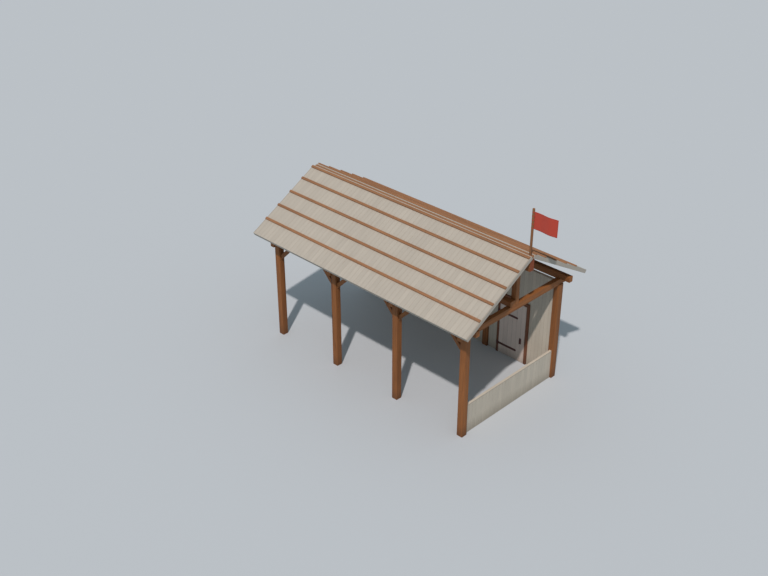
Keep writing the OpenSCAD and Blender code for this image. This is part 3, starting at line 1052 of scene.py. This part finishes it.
print(frame_pegs().name)

# %% [markdown]
# ## Nails
# The battens are held to the boards by broad-headed nails, two at each rafter line, left to rust.
# Between the battens the boards themselves are nailed too, with heads that were painted over.

# %% Batten and board nails
NAIL_HEAD = [(0.0065, -0.001), (0.006, 0.0014), (0.003, 0.002)]
NAIL_STEP = 0.625
PAIR_ASIDE = 0.016
EAVE_NAILS = 0.05
BOARD_NAIL_WANDER = 0.007


def batten_nails(slope, battens, seed):
    made = Joinery(seed)
    for low, high in boxes(battens):
        middle = (low + high) / 2
        from_top = Vector((0, middle.y, middle.z)) - slope.top
        down, top = slope.down.dot(from_top), slope.out.dot(from_top) * 2
        count = int((high.x - low.x) / NAIL_STEP)
        for i in range(count + 1):
            x = middle.x + (i - count / 2) * NAIL_STEP
            for step in (-PAIR_ASIDE, PAIR_ASIDE):
                made.stud(slope.at(x + step / 2, down + step, top), slope.out, NAIL_HEAD, sides=8)
    return made.piece(battens + "_nails", "iron")


def board_nails(slope, battens, seed):
    made = Joinery(seed)
    places, wide = board_places(*inside_edges(slope))
    downs = sorted(slope.down.dot((low + high) / 2 - slope.top) for low, high in boxes(battens))
    downs = [(a + b) / 2 for a, b in zip(downs[:-1], downs[1:])] + [slope.length - EAVE_NAILS]
    for i, x in enumerate(places):
        for down in downs:
            for step in (-NAIL_ASIDE, NAIL_ASIDE):
                wander = BOARD_NAIL_WANDER * math.sin(5.3 * i + 9.0 * down + step)
                foot = slope.at(x + step * wide, down + wander, 0.0)
                made.stud(foot, slope.out, PAINTED_NAIL, sides=7)
    return made.piece(slope.node + "_nails", "roof_boards")


for number, (slope, battens) in enumerate(zip(slopes, ("front_battens", "rear_battens"))):
    for first_seed, work in ((370, batten_nails), (380, board_nails)):
        print(work(slope, battens, first_seed + number).name)

# %% [markdown]
# ## The flag
# The flag is a plain red cloth tied to the pole along its near edge, and a light wind lifts it.
# A cloth simulation could hang it, but it would also drop it, and the photograph shows it held out
# almost flat. So its line, seen from above, is written as one curve: straight out from the pole in
# waves that grow towards the free edge, which sags a little under its own weight.

# %% Line of the cloth
flag_low, flag_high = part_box("flag")
pole_low, pole_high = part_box("flagpole")
POLE = Vector(((pole_low.x + pole_high.x) / 2, (pole_low.y + pole_high.y) / 2, 0))
POLE_RADIUS = (pole_high.x - pole_low.x) / 2
HOIST = POLE_RADIUS + 0.0015
FLY_END = flag_high.x - POLE.x - 0.008
CLOTH_FOOT = flag_low.z - 0.018
CLOTH_HEAD = flag_high.z
SWING = 0.026
WAVES = 1.2
WAVE_LEAN = 0.10
SAG = 0.010
COLUMNS, ROWS = 110, 44


def swing(x, up):
    share = x / FLY_END
    return SWING * share * math.sin(math.tau * share * (WAVES + WAVE_LEAN * (up - 0.5)))


def cloth_line(up):
    """Points of the cloth seen from above, from the edge at the pole to the free edge."""
    places = [HOIST + (FLY_END - HOIST) * i / COLUMNS for i in range(COLUMNS + 1)]
    return [(x, swing(x, up)) for x in places]


def line_length(line):
    return [0.0] + list(np.cumsum([math.dist(a, b) for a, b in zip(line, line[1:])]))


cloth_wide = line_length(cloth_line(0.5))[-1]
cloth_tall = CLOTH_HEAD - CLOTH_FOOT
print("flag cloth", round(cloth_wide, 3), "by", round(cloth_tall, 3), "m when flat")

# %% Cloth mesh
TIES = 5
TIE_REACH = 0.10
TIE_PULL = 0.0025


def woven(name, sheets):
    """A mesh of one or more sheets. A sheet is rows of points, each with its place on the flat cloth."""
    bm = bmesh.new()
    grain = bm.verts.layers.float_vector.new("grain")
    for rows in sheets:
        grid = []
        for row in rows:
            grid.append([bm.verts.new((POLE.x + x, POLE.y + y, z)) for (x, y, z), flat in row])
            for vert, (point, flat) in zip(grid[-1], row):
                vert[grain] = Vector((*flat, 0.0))
        for low, high in zip(grid, grid[1:]):
            for c in range(len(low) - 1):
                bm.faces.new((low[c], low[c + 1], high[c + 1], high[c])).smooth = True
    mesh = bpy.data.meshes.new(name)
    bm.to_mesh(mesh)
    bm.free()
    return mesh


def flag_row(up):
    """One row of the cloth. Between its ties the near edge gives a little."""
    loose = 0.5 - 0.5 * math.cos(math.tau * up * (TIES - 1))
    row = []
    line = cloth_line(up)
    for (x, y), far in zip(line, line_length(line)):
        near = max(0.0, 1.0 - far / TIE_REACH)
        drop = SAG * (x / FLY_END) ** 2
        point = (x + TIE_PULL * loose * near * near, y, CLOTH_FOOT + cloth_tall * up - drop)
        row.append((point, (far, cloth_tall * up)))
    return row


cloth = woven("flag_cloth", [[flag_row(r / ROWS) for r in range(ROWS + 1)]])
print("flag cloth has", len(cloth.polygons), "faces")

# %% [markdown]
# The cloth is a plain weave, a little faded where it flutters most. Its free edge, top and bottom are
# turned over and sewn, so the hem is darker, thicker and has a line of stitches along it.

# %% Cloth finish
FLAG_RED = (190, 67, 49)
THREADS = 900.0
HEM = 0.020
STITCHES_IN = 0.017
STITCH_HALF = 0.0009
CLOTH_RELIEF = 0.0012
CLOTH_THICK = 0.0012


def cloth_finish(name, base, wide, tall):
    finish = Finish(name)
    place = finish.read("grain", "Vector")
    axes = finish.parts(place)
    warp = finish.maths("SINE", finish.product(axes[0], math.tau * THREADS))
    weft = finish.maths("SINE", finish.product(axes[1], math.tau * THREADS))
    weave = finish.product(warp, weft)
    fade = finish.noise(place, (3.0, 3.0, 1.0), detail=5.0)
    slub = finish.noise(place, (6.0, 260.0, 1.0), detail=2.0)
    crease = finish.noise(place, (18.0, 5.0, 1.0), detail=3.0)
    from_edge = finish.maths("MINIMUM", axes[1], finish.maths("SUBTRACT", tall, axes[1]))
    near = finish.maths("MINIMUM", finish.maths("SUBTRACT", wide, axes[0]), from_edge)
    hem = finish.maths("LESS_THAN", near, HEM)
    off_line = finish.maths("ABSOLUTE", finish.maths("SUBTRACT", near, STITCHES_IN))
    stitch = finish.maths("LESS_THAN", off_line, STITCH_HALF)
    level = finish.balance((fade, 0.5, 0.5), (slub, 0.5, 0.25))
    colour = finish.blend(level, paint(*base, times=0.86), paint(*base, times=1.16))
    colour = finish.cover(colour, hem, 0.22, paint(*base, times=0.6))
    colour = finish.cover(colour, stitch, 0.6, paint(*base, times=0.4))
    height = finish.balance((weave, 0.0, 0.08), (slub, 0.5, 0.6), (crease, 0.5, 2.0), (hem, 0.0, 1.0))
    finish.surface(colour, finish.spread(slub, 0.2, 0.8, 0.74, 0.92), height, CLOTH_RELIEF)
    finish.shader.inputs["Sheen Weight"].default_value = 0.15
    return finish.material


def thicken(piece, thickness):
    """Gives a sheet its thickness, half to each side."""
    solid = piece.modifiers.new("thickness", "SOLIDIFY")
    solid.thickness = thickness
    solid.offset = 0.0


finishes["flag_cloth"] = cloth_finish("flag_cloth", FLAG_RED, cloth_wide, cloth_tall)
flag = settle(cloth, "flag_cloth", "flag_cloth", replaces=["flag"])
thicken(flag, CLOTH_THICK)
print("flag cloth beside the pole at", round(POLE.x, 3), round(POLE.y, 3))

# %% [markdown]
# Five short tapes of the same cloth tie the flag to its pole. A knot at this size would be a few
# millimetres, so each tape is a flat loop round the pole, sewn to both faces of the cloth.

# %% Ties round the pole
TAPE_WIDE = 0.018
TAPE_THICK = 0.0016
TAPE_SEWN = 0.030
TAPE_LEAVES = 0.004
TAPE_OPEN = math.radians(20.0)
TAPE_STEPS = 30


def tie_line():
    """The loop of one tape seen from above: along the cloth, round the pole and back along the cloth."""
    turn = math.tau - 2 * TAPE_OPEN
    round_pole = [TAPE_OPEN + turn * i / TAPE_STEPS for i in range(TAPE_STEPS + 1)]
    radius = POLE_RADIUS + TAPE_THICK
    loop = [(radius * math.cos(t), radius * math.sin(t)) for t in round_pole]
    sewn = [(HOIST + TAPE_SEWN, TAPE_THICK), (HOIST + TAPE_LEAVES, TAPE_THICK)]
    return sewn + loop + [(x, -y) for x, y in reversed(sewn)]


def tie_rows(number):
    """The lower and the upper edge of one tape."""
    line = tie_line()
    middle = CLOTH_FOOT + HEM + (cloth_tall - 2 * HEM) * number / (TIES - 1)
    rows = []
    for side in (-TAPE_WIDE / 2, TAPE_WIDE / 2):
        rows.append([((x, y, middle + side), (0.1 + far, 0.1 + number + side))
                     for (x, y), far in zip(line, line_length(line))])
    return rows


tapes = woven("flag_ties", [tie_rows(number) for number in range(TIES)])
ties = settle(tapes, "flag_ties", "flag_cloth")
thicken(ties, TAPE_THICK)
print(ties.name, TIES, "tapes")
